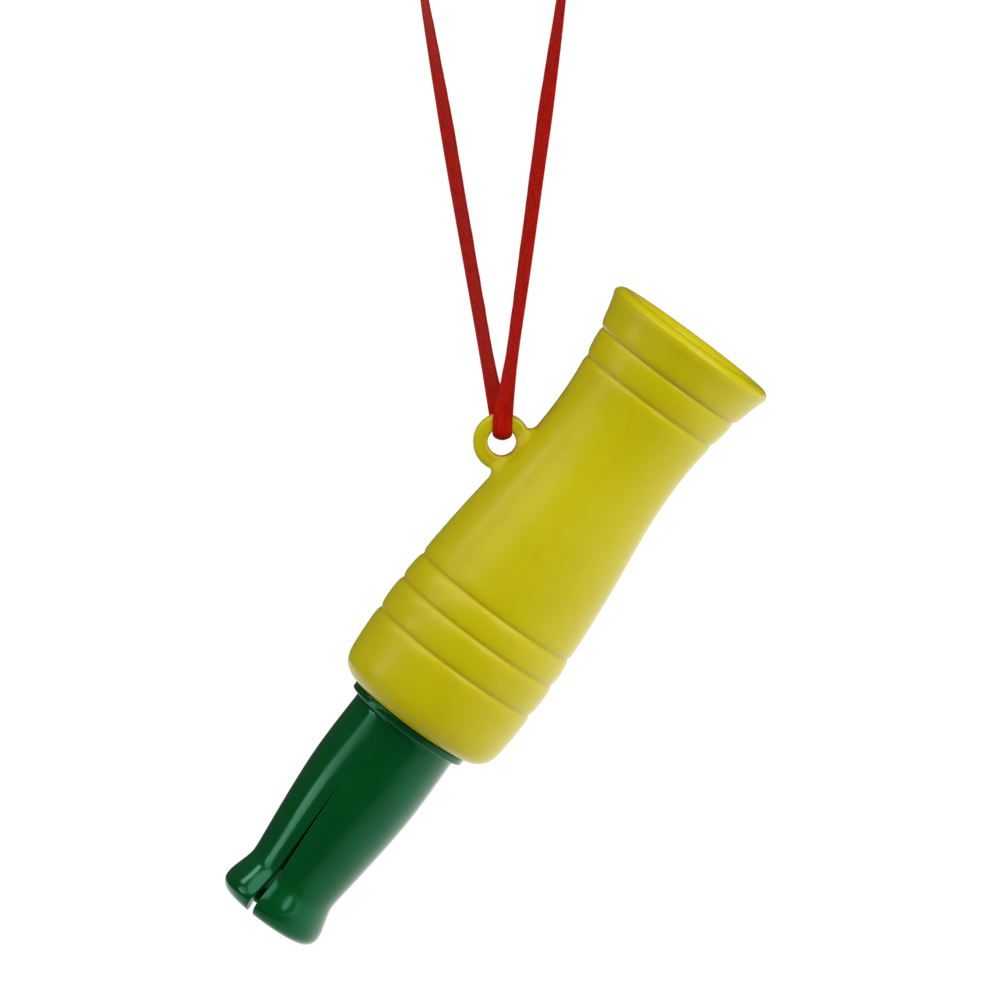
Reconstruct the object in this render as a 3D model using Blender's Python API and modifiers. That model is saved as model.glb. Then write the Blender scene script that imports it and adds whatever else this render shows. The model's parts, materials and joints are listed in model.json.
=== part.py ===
"""A reed-type training whistle that hangs from a ribbon lanyard.

The whistle is turned about one axis. Along that axis the stations are in millimetres, counted from near
the barrel's middle and positive towards the mouth. The whistle hangs by its eye, so the axis leans by
LEAN from the vertical in the XZ plane. The origin is where the ribbon loop bears on what holds it up.
"""

import math

import bmesh
import bpy
from mathutils import Matrix, Vector

MM = 0.001

# How it hangs
LEAN = math.radians(36.5)
EYE = Vector((1.9, 0.0, -103.4))
EYE_STATION = 30.3
EYE_OFF_AXIS = 17.5

# Barrel
BARREL_STEPS = 44
BARREL_END = -21.9
BARREL_CORNER_RADIUS = 4.6
BARREL_END_FLAT = 12.55
BARREL_SIDE = [
    (-17.3, 17.15), (-10.7, 17.55), (-2.0, 17.62), (6.0, 17.1), (14.0, 16.47), (22.0, 15.65),
    (30.0, 14.65), (36.0, 14.07), (42.5, 13.85), (48.5, 14.08), (54.0, 14.82), (58.7, 15.5),
]
FLARE_SIDE = [(59.6, 15.88), (62.2, 16.4), (64.2, 16.95), (65.7, 17.4)]
GROOVES = [-8.05, -1.1, 4.7, 53.05, 59.05]
GROOVE_HALF_WIDTH = 0.5
GROOVE_DEPTH = 0.4
GROOVE_CLEAR = 0.3
MOUTH_END = 67.3
MOUTH_RADIUS = 17.6
MOUTH_LIP_RADIUS = 1.5
MOUTH_BORE = 12.3
BORE_FLARE = (52.0, 11.4)
WAIST_BORE = 11.0
WAIST_STATION = 42.5
SEAT_BORE = 10.6
SEAT_TOP = -1.0
SEAT_STEP = 1.2
BORE_CHAMFER = 0.6

# Eye
EYE_OUTER = 5.4
EYE_HOLE = 2.66
EYE_THICKNESS = 3.6
EYE_EDGE = 0.7

# Insert
INSERT_STEPS = 36
FLANGE_RADIUS = 12.55
FLANGE_TOP = -22.2
FLANGE_BOTTOM = -23.5
FLANGE_CHAMFER = 0.3
FLANGE_FOOT_RADIUS = 11.6
PLUG_RADIUS = 10.3
PLUG_TOP = -1.6
PLUG_CHAMFER = 0.8
PLUG_BORE = 6.9
BOARD_STOP = -20.6
STOP_DEPTH = 2.0
STOP_BORE = 5.4
TUBE_SIDE = [
    (-24.9, 11.03), (-32.8, 11.2), (-38.85, 11.09), (-45.7, 10.58), (-51.6, 9.99), (-56.1, 9.5),
    (-59.3, 9.2), (-60.9, 9.4), (-62.7, 9.9), (-64.7, 10.45),
]
TUBE_WALL = 1.6
TUBE_BORE_START = -27.0
TIP_END = -68.5
TIP_RADIUS = 10.6
TIP_ROUND = 2.5
TIP_LIP_STATION = TIP_END + 1.2
TIP_LIP_BORE = 7.9
SLOT_START = -36.0
SLOT_START_WIDTH = 0.12
SLOT_END_WIDTH = 1.55
SLOT_OVERRUN = 3.0
SLOT_NEAR = 5.0
SLOT_FAR = 14.0
SLOT_TURN = math.radians(22.4)

# Seal ring
SEAL_STATION = -10.0
SEAL_GROOVE_FLOOR = 9.1
SEAL_GROOVE_WIDTH = 1.8
SEAL_RADIUS = 9.82
SEAL_THICKNESS = 1.2

# Tone board, reed and wedge
BOARD_RADIUS = 6.6
BOARD_TIP = 28.0
BOARD_ROOT = -20.3
CHANNEL_WIDTH = 5.0
CHANNEL_DEPTH = 3.8
CHANNEL_END = 22.0
CHANNEL_END_DEPTH = 1.0
CHANNEL_RAMP = 5.0
BED_FALL = math.radians(2.5)
REED_PIVOT = -4.0
REED_HALF_GAP = 0.15
REED_THICKNESS = 0.4
REED_LIFT = 0.25
REED_WIDTH = 9.0
REED_ROOT_END = -18.0
REED_TIP = 26.0
WEDGE_TOP = -5.5
WEDGE_BOTTOM = -17.5
CLAMP_GAP = 0.25

# Cutters that must reach past the tone board and the wedge
CUT_SIDE = 9.0
CUT_LOW = -30.0
CUT_HIGH = 40.0
CUT_ABOVE = -3.0

# Ribbon, drawn here as a round cord of the same section
CORD_RADIUS = 0.75
CORD_SPACING = 3.9
CORD_SPACING_AT_EYE = 0.9
CORD_BENDS_WITHIN = 7.0
CURVE_STEPS = 12
LOOP_RADIUS = 13.7
LOOP_CENTRE = Vector((0.15, 0.0, -12.95))
LEFT_SHOULDER = math.radians(189)
RIGHT_SHOULDER = math.radians(-7)
STRAND_GAP = 2.85
KNOT_ANGLE = math.radians(6)
KNOT_RADIUS = 2.7
KNOT_SHAPE = Vector((1.15, 0.85, 0.75))
KNOT_CLEAR = 0.9 * KNOT_RADIUS / LOOP_RADIUS


def clear_scene():
    for obj in list(bpy.data.objects):
        bpy.data.objects.remove(obj, do_unlink=True)


def new_collection(name):
    found = bpy.data.collections.new(name)
    bpy.context.scene.collection.children.link(found)
    return found


def material(name, color, roughness, metallic=0.0):
    made = bpy.data.materials.new(name)
    made.use_nodes = True
    shader = made.node_tree.nodes["Principled BSDF"]
    shader.inputs["Base Color"].default_value = (*color, 1.0)
    shader.inputs["Roughness"].default_value = roughness
    shader.inputs["Metallic"].default_value = metallic
    return made


def add_object(name, data, collection, mat=None, parent=None):
    obj = bpy.data.objects.new(name, data)
    collection.objects.link(obj)
    obj.parent = parent
    if mat:
        data.materials.append(mat)
    return obj


def make_cutter(obj):
    obj.hide_render = True
    obj.display_type = "WIRE"
    return obj


def smooth(obj, angle=35):
    obj.data.shade_smooth()
    obj.data.set_sharp_from_angle(angle=math.radians(angle))


def on_curve(a, b, c, d, t):
    """A point on the smooth curve from b to c, where a comes before them and d after."""
    second = 2 * a - 5 * b + 4 * c - d
    third = 3 * b - a - 3 * c + d
    return 0.5 * (2 * b + (c - a) * t + second * t**2 + third * t**3)


def through_points(points):
    """Points on a smooth curve through the given ones."""
    ends = [points[0] * 2 - points[1], *points, points[-1] * 2 - points[-2]]
    spans = zip(ends, ends[1:], ends[2:], ends[3:])
    found = [on_curve(*span, k / CURVE_STEPS) for span in spans for k in range(CURVE_STEPS)]
    return [*found, points[-1]]


def arc(station, radius, bend, start, end, count):
    """Points on a round corner, from angle start to end in degrees; 0 points outwards, 90 up the axis."""
    angles = [math.radians(start + (end - start) * k / count) for k in range(count + 1)]
    return [(station + bend * math.sin(a), radius + bend * math.cos(a)) for a in angles]


def grooved(outline):
    """Cuts the turned grooves into a side that runs from low stations to high ones."""
    found = list(outline)
    for groove in GROOVES:
        low, high = groove - GROOVE_HALF_WIDTH, groove + GROOVE_HALF_WIDTH
        before = [p for p in found if p[0] < low - GROOVE_CLEAR]
        after = [p for p in found if p[0] > high + GROOVE_CLEAR]
        (s0, r0), (s1, r1) = before[-1], after[0]
        if groove == GROOVES[-1]:
            cut = [(low, r0), (groove, r0 - GROOVE_DEPTH), (high, r1)]
        else:
            at = [r0 + (r1 - r0) * (s - s0) / (s1 - s0) for s in (low, groove, high)]
            cut = [(low, at[0]), (groove, at[1] - GROOVE_DEPTH), (high, at[2])]
        found = before + cut + after
    return found


def turned(name, outline, steps, collection, mat, parent):
    """A closed outline of (station, radius) pairs, down its outer side, turned about the axis."""
    mesh = bpy.data.meshes.new(name)
    points = [(r * MM, 0.0, s * MM) for s, r in outline]
    edges = [(i, (i + 1) % len(points)) for i in range(len(points))]
    mesh.from_pydata(points, edges, [])
    obj = add_object(name, mesh, collection, mat, parent)
    screw = obj.modifiers.new("Turn", "SCREW")
    screw.axis = "Z"
    screw.steps = steps
    screw.render_steps = steps
    screw.use_merge_vertices = True
    screw.merge_threshold = 0.00001
    screw.use_smooth_shade = True
    return obj


def boolean(obj, other, operation):
    modifier = obj.modifiers.new(f"{operation.title()} {other.name}", "BOOLEAN")
    modifier.operation = operation
    modifier.solver = "EXACT"
    modifier.object = other


def placed_mesh(name, work, place):
    """A mesh of the shape being worked on, moved by place."""
    bmesh.ops.transform(work, matrix=place, verts=work.verts)
    mesh = bpy.data.meshes.new(name)
    work.to_mesh(mesh)
    work.free()
    return mesh


def cylinder(name, radius, depth, count, place, collection, mat=None, parent=None):
    """A cylinder along its own Z, placed in the parent's frame, all in millimetres."""
    work = bmesh.new()
    bmesh.ops.create_cone(
        work, cap_ends=True, segments=count, radius1=radius * MM, radius2=radius * MM, depth=depth * MM
    )
    return add_object(name, placed_mesh(name, work, place), collection, mat, parent)


def block(name, low, high, collection, mat=None, parent=None):
    """A box between two corners in millimetres."""
    low, high = Vector(low) * MM, Vector(high) * MM
    work = bmesh.new()
    bmesh.ops.create_cube(work, size=1.0)
    place = Matrix.Translation((low + high) / 2) @ Matrix.Diagonal((*(high - low), 1.0))
    return add_object(name, placed_mesh(name, work, place), collection, mat, parent)


def filled_outline(outline, thickness):
    """A mesh of a flat outline of (x, y) pairs in millimetres, thickened both ways."""
    curve = bpy.data.curves.new("outline", "CURVE")
    curve.dimensions = "2D"
    curve.fill_mode = "BOTH"
    curve.extrude = thickness / 2 * MM
    spline = curve.splines.new("POLY")
    spline.points.add(len(outline) - 1)
    for point, (x, y) in zip(spline.points, outline):
        point.co = (x * MM, y * MM, 0.0, 1.0)
    spline.use_cyclic_u = True
    flat = bpy.data.objects.new("outline", curve)
    bpy.context.scene.collection.objects.link(flat)
    bpy.context.view_layer.update()
    graph = bpy.context.evaluated_depsgraph_get()
    mesh = bpy.data.meshes.new_from_object(flat.evaluated_get(graph))
    bpy.data.objects.remove(flat, do_unlink=True)
    bpy.data.curves.remove(curve)
    return mesh


def plate(name, outline, thickness, place, collection, mat=None, parent=None):
    """A solid plate of that outline, placed in the parent's frame."""
    mesh = filled_outline(outline, thickness)
    work = bmesh.new()
    work.from_mesh(mesh)
    bpy.data.meshes.remove(mesh)
    bmesh.ops.remove_doubles(work, verts=work.verts, dist=0.000001)
    bmesh.ops.recalc_face_normals(work, faces=work.faces)
    return add_object(name, placed_mesh(name, work, place), collection, mat, parent)


def shifted(x, y, z):
    return Matrix.Translation(Vector((x, y, z)) * MM)


def side_on():
    """Turns an outline of (depth, station) pairs so that depth runs along +Y and station along +Z."""
    return Matrix(((0, 0, 1, 0), (1, 0, 0, 0), (0, 1, 0, 0), (0, 0, 0, 1)))


def barrel_outline():
    corner = arc(BARREL_END + BARREL_CORNER_RADIUS, BARREL_END_FLAT, BARREL_CORNER_RADIUS, -90, -10, 5)
    lip = arc(MOUTH_END - MOUTH_LIP_RADIUS, MOUTH_RADIUS - MOUTH_LIP_RADIUS, MOUTH_LIP_RADIUS, 10, 90, 3)
    outer = corner + grooved(BARREL_SIDE + FLARE_SIDE) + lip
    inner = [
        (MOUTH_END, MOUTH_BORE + BORE_CHAMFER), (MOUTH_END - BORE_CHAMFER, MOUTH_BORE), BORE_FLARE,
        (WAIST_STATION, WAIST_BORE), (SEAT_TOP + SEAT_STEP, WAIST_BORE), (SEAT_TOP, SEAT_BORE),
        (BARREL_END + BORE_CHAMFER, SEAT_BORE), (BARREL_END, SEAT_BORE + BORE_CHAMFER),
    ]
    return outer[::-1] + inner[::-1]


def build_barrel(parts, cutters, mat, frame):
    barrel = turned("barrel", barrel_outline(), BARREL_STEPS, parts, mat, frame)
    across = shifted(-EYE_OFF_AXIS, 0, EYE_STATION) @ Matrix.Rotation(math.pi / 2, 4, "X")
    lug = make_cutter(cylinder("eye_lug", EYE_OUTER, EYE_THICKNESS, 32, across, cutters, None, frame))
    edge = lug.modifiers.new("Edge", "BEVEL")
    edge.width = EYE_EDGE * MM
    edge.segments = 2
    edge.limit_method = "ANGLE"
    hole = make_cutter(cylinder("eye_hole", EYE_HOLE, 3 * EYE_THICKNESS, 24, across, cutters, None, frame))
    boolean(barrel, lug, "UNION")
    boolean(barrel, hole, "DIFFERENCE")


def insert_outline():
    groove_low = SEAL_STATION - SEAL_GROOVE_WIDTH / 2
    groove_high = SEAL_STATION + SEAL_GROOVE_WIDTH / 2
    plug = [
        (PLUG_TOP, PLUG_RADIUS - PLUG_CHAMFER), (PLUG_TOP - PLUG_CHAMFER, PLUG_RADIUS),
        (groove_high, PLUG_RADIUS), (groove_high, SEAL_GROOVE_FLOOR), (groove_low, SEAL_GROOVE_FLOOR),
        (groove_low, PLUG_RADIUS), (FLANGE_TOP, PLUG_RADIUS),
    ]
    flange = [
        (FLANGE_TOP, FLANGE_RADIUS - FLANGE_CHAMFER), (FLANGE_TOP - FLANGE_CHAMFER, FLANGE_RADIUS),
        (FLANGE_BOTTOM + FLANGE_CHAMFER, FLANGE_RADIUS), (FLANGE_BOTTOM, FLANGE_RADIUS - FLANGE_CHAMFER),
        (FLANGE_BOTTOM, FLANGE_FOOT_RADIUS),
    ]
    tip = arc(TIP_END + TIP_ROUND, TIP_RADIUS - TIP_ROUND, TIP_ROUND, 0, -80, 4)
    bore = [(s, r - TUBE_WALL) for s, r in TUBE_SIDE[1:]]
    inner = [
        (TIP_END, TIP_RADIUS - TIP_ROUND), (TIP_LIP_STATION, TIP_LIP_BORE), *bore[::-1],
        (TUBE_BORE_START, TUBE_SIDE[0][1] - TUBE_WALL), (BOARD_STOP - STOP_DEPTH, STOP_BORE),
        (BOARD_STOP, STOP_BORE), (BOARD_STOP, PLUG_BORE), (PLUG_TOP, PLUG_BORE),
    ]
    return plug + flange + TUBE_SIDE + tip + inner


def slot_outline():
    """A narrow wedge that opens from its start to beyond the tip."""
    end = TIP_END - SLOT_OVERRUN
    opening = (SLOT_END_WIDTH - SLOT_START_WIDTH) / (SLOT_START - TIP_END)
    half_start = SLOT_START_WIDTH / 2
    half_end = half_start + opening * (SLOT_START - end) / 2
    return [(-half_start, SLOT_START), (half_start, SLOT_START), (half_end, end), (-half_end, end)]


def build_insert(parts, cutters, mat, frame):
    insert = turned("insert", insert_outline(), INSERT_STEPS, parts, mat, frame)
    towards = shifted(0, -(SLOT_NEAR + SLOT_FAR) / 2, 0) @ Matrix.Rotation(math.pi / 2, 4, "X")
    place = Matrix.Rotation(-SLOT_TURN, 4, "Z") @ towards
    depth = SLOT_FAR - SLOT_NEAR
    slot = make_cutter(plate("tip_slot", slot_outline(), depth, place, cutters, None, frame))
    boolean(insert, slot, "DIFFERENCE")


def build_seal(parts, mat, frame):
    ring = arc(SEAL_STATION, SEAL_RADIUS, SEAL_THICKNESS / 2, 90, -270, 10)[:-1]
    turned("seal_ring", ring, INSERT_STEPS, parts, mat, frame)


def board_bar(name, low, high, parts, mat, frame):
    """A whole round bar between two stations, from which the board or the wedge is cut."""
    middle = shifted(0, 0, (high + low) / 2)
    return cylinder(name, BOARD_RADIUS, high - low, 32, middle, parts, mat, frame)


def build_tone_board(parts, cutters, mat, frame):
    board = board_bar("tone_board", BOARD_ROOT, BOARD_TIP, parts, mat, frame)
    low, high = (-CUT_SIDE, -CUT_SIDE, CUT_LOW), (CUT_SIDE, 0, CUT_HIGH)
    upper = make_cutter(block("board_upper", low, high, cutters, None, frame))
    fall = math.tan(BED_FALL) * (CUT_HIGH - REED_PIVOT)
    slope = [(CUT_ABOVE, REED_PIVOT), (0.0, REED_PIVOT), (fall, CUT_HIGH), (CUT_ABOVE, CUT_HIGH)]
    bed = make_cutter(plate("board_bed", slope, 2 * CUT_SIDE, side_on(), cutters, None, frame))
    groove = [
        (CUT_ABOVE, CUT_LOW), (CHANNEL_DEPTH, CUT_LOW), (CHANNEL_DEPTH, CHANNEL_END - CHANNEL_RAMP),
        (CHANNEL_END_DEPTH, CHANNEL_END), (CUT_ABOVE, CHANNEL_END),
    ]
    channel = make_cutter(plate("board_channel", groove, CHANNEL_WIDTH, side_on(), cutters, None, frame))
    for cutter in (upper, bed, channel):
        boolean(board, cutter, "DIFFERENCE")
    smooth(board)


def build_reed(parts, mat, frame, pivot):
    """The clamped root, and the tongue, whose middle plane holds the pivot."""
    half = REED_WIDTH / 2
    low = (-half, -REED_LIFT - REED_THICKNESS, REED_ROOT_END)
    high = (half, -REED_LIFT, REED_PIVOT - REED_HALF_GAP)
    block("reed_root", low, high, parts, mat, frame)
    round_end = arc(REED_TIP - REED_PIVOT - half, 0, half, 0, 180, 8)
    outline = [(-half, REED_HALF_GAP), (half, REED_HALF_GAP)] + [(x, z) for z, x in round_end]
    flat = Matrix.Rotation(math.pi / 2, 4, "X")
    plate("reed_tongue", outline, REED_THICKNESS, flat, parts, mat, pivot)


def build_wedge(parts, cutters, mat, frame):
    wedge = board_bar("wedge", WEDGE_BOTTOM, WEDGE_TOP, parts, mat, frame)
    face = -REED_LIFT - REED_THICKNESS - CLAMP_GAP
    low, high = (-CUT_SIDE, face, CUT_LOW), (CUT_SIDE, CUT_SIDE, CUT_HIGH)
    lower = make_cutter(block("wedge_lower", low, high, cutters, None, frame))
    boolean(wedge, lower, "DIFFERENCE")
    smooth(wedge)


def on_loop(angle):
    """A point on the loop's round top; angle 0 is its right side and 90 degrees its top."""
    return LOOP_CENTRE + LOOP_RADIUS * Vector((math.cos(angle), 0.0, math.sin(angle)))


def cord_route():
    """From the knot over the top, down behind the eye, through it, and up in front to the knot."""
    start = KNOT_ANGLE + KNOT_CLEAR
    over = [on_loop(start + (LEFT_SHOULDER - start) * k / 9) for k in range(10)]
    behind = [
        (-14.3, 0.0, 82.5), (-10.9, 0.1, 63.0), (-8.7, 0.4, 50.0), (-5.55, 1.1, 32.0), (-2.95, 2.0, 17.0),
        (-1.5, 2.8, 8.6), (-0.6, STRAND_GAP, 5.0), (-0.1, STRAND_GAP - 0.05, 2.6), (0.1, 2.35, 1.4),
    ]
    through = [(0.1, 1.2, 0.95), (0.1, 0.0, 0.85), (0.1, -1.2, 0.95)]
    front = [
        (0.1, -2.35, 1.4), (0.1, -STRAND_GAP + 0.05, 2.6), (0.2, -STRAND_GAP, 5.0), (0.7, -2.8, 8.6),
        (1.9, -2.0, 17.0), (4.0, -1.1, 32.0), (6.45, -0.4, 50.0), (8.25, -0.1, 63.0), (10.95, 0.0, 82.5),
    ]
    strands = [EYE + Vector(p) for p in behind + through + front]
    return [*over, *strands, on_loop(RIGHT_SHOULDER), on_loop(KNOT_ANGLE - KNOT_CLEAR)]


def spaced(points):
    """Keeps points a few cord diameters apart, and closer where the cord turns through the eye."""
    found = [points[0]]
    for point in points[1:-1]:
        near = (point - EYE).length < CORD_BENDS_WITHIN
        if (point - found[-1]).length >= (CORD_SPACING_AT_EYE if near else CORD_SPACING):
            found.append(point)
    if (points[-1] - found[-1]).length < 2 * CORD_RADIUS:
        found.pop()
    return [*found, points[-1]]


def build_ribbon(parts, mat):
    curve = bpy.data.curves.new("lanyard_ribbon", "CURVE")
    curve.dimensions = "3D"
    curve.bevel_depth = CORD_RADIUS * MM
    curve.bevel_resolution = 2
    curve.use_fill_caps = True
    route = spaced(through_points(cord_route()))
    spline = curve.splines.new("POLY")
    spline.points.add(len(route) - 1)
    for point, place in zip(spline.points, route):
        point.co = (*(place * MM), 1.0)
    add_object("lanyard_ribbon", curve, parts, mat)


def build_knot(parts, mat):
    work = bmesh.new()
    bmesh.ops.create_uvsphere(work, u_segments=12, v_segments=8, radius=1.0)
    turn = shifted(*on_loop(KNOT_ANGLE)) @ Matrix.Rotation(-KNOT_ANGLE, 4, "Y")
    place = turn @ Matrix.Diagonal((*(KNOT_SHAPE * KNOT_RADIUS * MM), 1.0))
    smooth(add_object("lanyard_knot", placed_mesh("lanyard_knot", work, place), parts, mat))


def pivot_at(name, collection, place, turn=0.0, parent=None):
    """An empty on a joint's axis, which carries the pieces that move with it."""
    empty = bpy.data.objects.new(name, None)
    empty.empty_display_size = 5 * MM
    collection.objects.link(empty)
    empty.location = Vector(place) * MM
    empty.rotation_euler = (0.0, turn, 0.0)
    empty.parent = parent
    return empty


def main():
    clear_scene()
    parts = new_collection("training_whistle")
    cutters = new_collection("cutters")
    yellow = material("yellow_plastic", (0.56, 0.46, 0.012), 0.3)
    green = material("green_plastic", (0.004, 0.075, 0.012), 0.16)
    dark = material("board_plastic", (0.035, 0.035, 0.04), 0.4)
    film = material("reed_film", (0.75, 0.76, 0.74), 0.3)
    cork = material("wedge_cork", (0.42, 0.24, 0.11), 0.9)
    rubber = material("seal_rubber", (0.02, 0.02, 0.02), 0.7)
    red = material("red_ribbon", (0.5, 0.01, 0.006), 0.6)

    eye_pivot = pivot_at("eye_pivot", parts, EYE, LEAN)
    axis = pivot_at("insert_axis", parts, (EYE_OFF_AXIS, 0, -EYE_STATION), parent=eye_pivot)
    reed_middle = -REED_LIFT - REED_THICKNESS / 2
    reed_pivot = pivot_at("reed_pivot", parts, (0, reed_middle, REED_PIVOT), parent=axis)

    build_barrel(parts, cutters, yellow, axis)
    build_insert(parts, cutters, green, axis)
    build_seal(parts, rubber, axis)
    build_tone_board(parts, cutters, dark, axis)
    build_reed(parts, film, axis, reed_pivot)
    build_wedge(parts, cutters, cork, axis)
    build_ribbon(parts, red)
    build_knot(parts, red)


main()
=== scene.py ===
"""The looks of a reed-type training whistle on a ribbon lanyard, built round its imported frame.

The row frame is in metres. Shapes are worked out in millimetres: the whistle's own in a frame whose z is
the station along its axis, positive towards the mouth, whose y is the world's Y and whose x points away
from the eye, and the lanyard's from the eye's centre or from the row's origin, where it hangs.
"""

import json
import math

import bmesh
import bpy
import numpy as np
from mathutils import Matrix, Vector, noise


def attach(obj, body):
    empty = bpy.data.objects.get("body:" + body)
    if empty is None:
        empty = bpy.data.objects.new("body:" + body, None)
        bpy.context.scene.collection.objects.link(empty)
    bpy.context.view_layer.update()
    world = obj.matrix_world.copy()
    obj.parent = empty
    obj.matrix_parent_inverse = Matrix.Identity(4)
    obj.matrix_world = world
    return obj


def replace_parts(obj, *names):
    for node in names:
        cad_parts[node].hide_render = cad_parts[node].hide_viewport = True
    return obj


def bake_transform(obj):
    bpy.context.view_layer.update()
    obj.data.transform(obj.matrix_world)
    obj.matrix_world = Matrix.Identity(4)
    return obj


MM = 0.001
SMALL = 1e-9

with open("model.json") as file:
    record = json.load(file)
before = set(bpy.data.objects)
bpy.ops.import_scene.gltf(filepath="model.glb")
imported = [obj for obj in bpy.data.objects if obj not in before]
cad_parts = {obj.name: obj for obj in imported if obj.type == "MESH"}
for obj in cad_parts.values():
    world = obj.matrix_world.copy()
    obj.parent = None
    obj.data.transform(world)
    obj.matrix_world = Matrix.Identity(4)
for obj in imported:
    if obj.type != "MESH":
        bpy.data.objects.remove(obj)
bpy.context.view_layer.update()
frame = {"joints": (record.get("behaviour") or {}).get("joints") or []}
JOINTS = {joint["name"]: joint for joint in frame["joints"]}
EYE = Vector(JOINTS["eye_swing"]["pos_m"])

# View, in metres
LOOK_DOWN = math.radians(5.6)
CAMERA_DISTANCE = 1.5
VIEW_WIDTH = 0.1875
SENSOR_WIDTH = 36.0
EYE_RIGHT_OF_MIDDLE = 0.00034
EYE_ABOVE_MIDDLE = 0.01093

# Barrel: (station, radius) pairs and millimetres
BARREL_COLUMNS = 144
BARREL_END = -21.9
MOUTH_END = 67.3
CORNER_RADIUS = 4.6
CORNER_CENTRE = (-17.3, 12.55)
BARREL_SIDE = [
    (-19.6, 16.53), (-17.3, 17.15), (-10.7, 17.55), (-2.0, 17.62), (6.0, 17.1), (14.0, 16.47),
    (22.0, 15.65), (30.0, 14.65), (36.0, 14.07), (42.5, 13.85), (48.5, 14.08), (54.0, 14.82), (59.0, 15.5),
]
FLARE_SIDE = [(59.0, 15.78), (62.2, 16.4), (64.2, 16.95), (67.3, 17.8)]
FLARE_START = 59.05
FLARE_STEP = 0.24
GROOVES = [-8.05, -1.1, 4.7, 53.05, FLARE_START]
GROOVE_CORE = (0.20, 0.42)
GROOVE_SHOULDER = (0.22, 1.2)
GROOVE_REACH = 1.6
GROOVE_GRAIN = 0.16
MOUTH_RADIUS = 17.6
LIP_BEND = 1.7
SEAT_BORE = 10.6
WAIST_BORE = 11.0
MOUTH_BORE = 12.3
INSIDE_RADIUS = 13.0

# Eye
EYE_STATION = 30.3
EYE_OFF_AXIS = 17.5
EYE_OUTER = 5.4
EYE_HOLE = 2.66
EYE_THICKNESS = 3.6
EYE_EDGE = 0.8
HOLE_EDGE = 0.45
EYE_FILLET = 0.7
EYE_FACE_FILLET = 2.3
EYE_GRAIN = 0.22
EYE_ROUGH = 0.1
FINE_SIDEWAYS = 0.7
FINE_AROUND = 0.4
# Painted shade in the grooves and round the eye's hole: its reach from the hole's edge in millimetres, and
# its strength
HOLE_SHADE = 1.1
RECESS_SHADE = 0.5

# Insert
INSERT_COLUMNS = 128
SEAL_STATION = -10.0
SEAL_GROOVE = (9.1, 0.9)
PLUG_RADIUS = 10.3
PLUG_TOP = -1.6
PLUG_BORE = 6.9
BOARD_STOP = -20.6
STOP_BORE = 5.4
FLANGE_RADIUS = 12.55
FLANGE_TOP = -22.0
FLANGE_BOTTOM = -23.5
TUBE_SIDE = [
    (-24.9, 11.03), (-32.8, 11.2), (-38.85, 11.09), (-45.7, 10.58), (-51.6, 9.99), (-56.1, 9.5),
    (-59.3, 9.2), (-60.9, 9.4), (-62.7, 9.9), (-64.7, 10.45), (-66.0, 10.6),
]
TUBE_WALL = 1.6
TUBE_SIDE_END = -65.4
TIP_END = -68.5
TIP_RADIUS = 10.6
TIP_ROUND = 2.5
SLOT_START = -34.5
SLOT_END_WIDTH = 1.55
SLOT_SPREAD = 1.3
SLOT_EDGE = 0.16
SLOT_TURN = math.radians(22.4)
SLOT_ROW = 0.85

# Inside the insert
BOARD_RADIUS = 6.6
BOARD_TIP = 28.0
BOARD_ROOT = -20.3
CHANNEL_WIDTH = 5.0
CHANNEL_DEPTH = 3.8
CHANNEL_END = 22.0
CHANNEL_RISE = [(0.0, -5.0), (1.0, -3.2), (1.8, -2.4), (2.6, -1.6)]
BOARD_EDGE = 0.22
BED_FALL = math.radians(2.5)
BED_STATIONS = (4.0, 12.0, 20.0, 40.0)
REED_PIVOT = -4.0
REED_MIDDLE = -0.45
REED_THICKNESS = 0.36
REED_WIDTH = 9.0
REED_EDGE = 0.12
REED_ROWS = 60
REED_TIP_ROWS = 15
REED_ROOT = -18.0
REED_TIP = 26.0
WEDGE_TOP = -5.5
WEDGE_BOTTOM = -17.5
WEDGE_FACE = -0.9
WEDGE_EDGE = 0.35
SEAL_RADIUS = 9.22
SEAL_HALF = 0.6
SEAL_SIDES = 24
SEAL_COLUMNS = 96

# Lanyard
RIBBON_WIDTH = 3.7
RIBBON_THICKNESS = 0.42
LOOP_RADIUS = 13.7
LOOP_CENTRE = Vector((0.15, 0.0, -12.95))
KNOT_ANGLE = math.radians(6)
KNOT_CLEAR = 1.3 / LOOP_RADIUS
LEFT_SHOULDER = math.radians(189)
RIGHT_SHOULDER = math.radians(-7)
RIBBON_STEP = 0.55
WAVER_RATE = 0.35
WAVER_WIDER = 0.03
WAVER_OUT = 0.05
LOOP_CUP = 0.12
EYE_CUP = 0.78
EYE_CUP_REACH = 0.012
KNOT_RINGS = 90
KNOT_SIDES = 12
KNOT_TILT = math.radians(70)
KNOT_SIZE = (0.78, 0.62, 0.72)
KNOT_SECTION = (1.25, 0.55)
KNOT_STEP = 0.25
KNOT_TAIL = [
    (0.6, 0.4, 0.0, 80), (2.4, 1.3, 0.5, 74), (4.4, 2.1, 0.2, 66),
    (6.2, 2.8, -1.4, 56), (7.4, 3.3, -4.0, 48),
]
TAIL_CUP = 0.25
TAIL_SLANT = 0.35

# Strip light, in the whistle's millimetres
STRIP = [(-785, -310, -40), (-775, -90, -330)]
STRIP_WIDTH = 240.0
STRIP_GLOW = (0.9, 3.2)
TUBE_MIDDLE = -42.0

# Lights: the direction and distance from the whistle's middle in metres, the size, and the power in watts
KEY_LIGHT = ((0.655, -0.605, 0.453), 1.2, 1.1, 12.1)
FILL_LIGHT = ((-0.303, -0.505, 0.808), 1.3, 1.2, 9.7)
TIP_LIGHT_PLACE = (-785.0, 0.0, 135.0)
TIP_LIGHT_SIZE = (0.14, 0.22)
TIP_LIGHT_POWER = 0.44
BACKDROP_STRENGTH = 1.02
AMBIENT_COLOUR = (0.93, 0.96, 1.0, 1.0)
AMBIENT_STRENGTH = 0.06

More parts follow.
